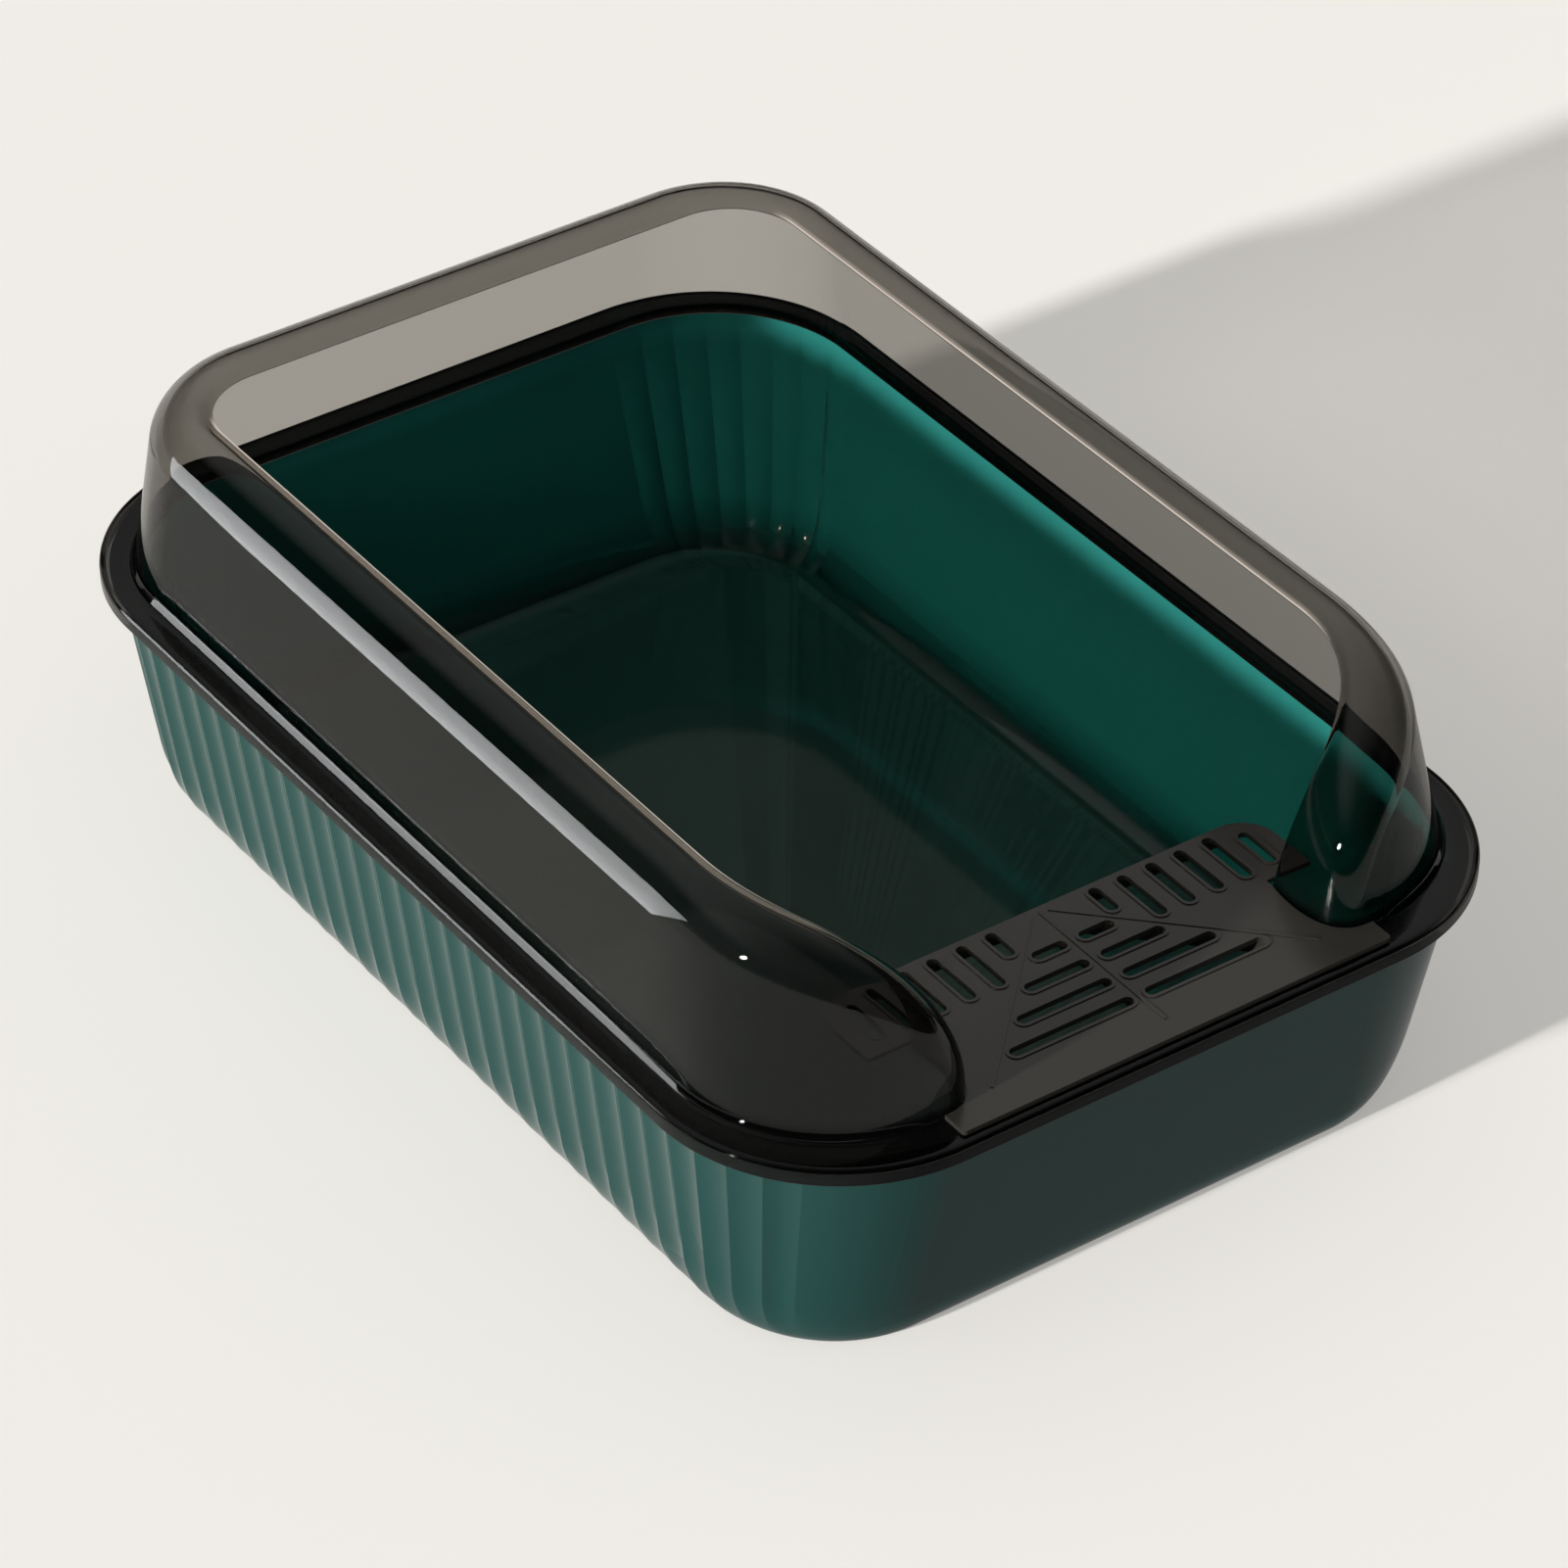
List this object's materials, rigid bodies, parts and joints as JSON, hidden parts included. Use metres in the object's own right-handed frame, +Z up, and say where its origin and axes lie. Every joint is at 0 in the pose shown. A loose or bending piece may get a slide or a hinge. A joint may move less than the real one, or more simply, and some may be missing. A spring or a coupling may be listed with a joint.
{
  "type": "litter tray",
  "caption": "Open litter tray: fluted pan with rounded corners, rolled splash guard on its rim that sweeps down to a low entry, and a slotted step across the entry.",
  "frame": {"origin": "centre of the bounding box in plan, on the floor", "axes": "+Z up, +Y along the tray from the entry to the rear wall, +X to the right seen from the entry"},
  "size_m": [0.351, 0.52, 0.1845],
  "materials": {
    "tinted_pan": "translucent dark green gloss plastic",
    "smoke_guard": "clear smoke-grey gloss plastic",
    "step_plastic": "satin grey-brown plastic"
  },
  "bodies": {
    "base_pan": {"base_pan": "tinted_pan"},
    "splash_guard": {"splash_guard": "smoke_guard"},
    "entry_grille": {"entry_grille": "step_plastic"}
  },
  "joints": [
    {"name": "guard_lift", "type": "slide", "parent": "base_pan", "child": "splash_guard", "axis": [0, 0, 1], "range_m": [0, 0.12]},
    {"name": "step_lift", "type": "slide", "parent": "splash_guard", "child": "entry_grille", "axis": [0, 0, 1], "range_m": [0, 0.1]}
  ]
}
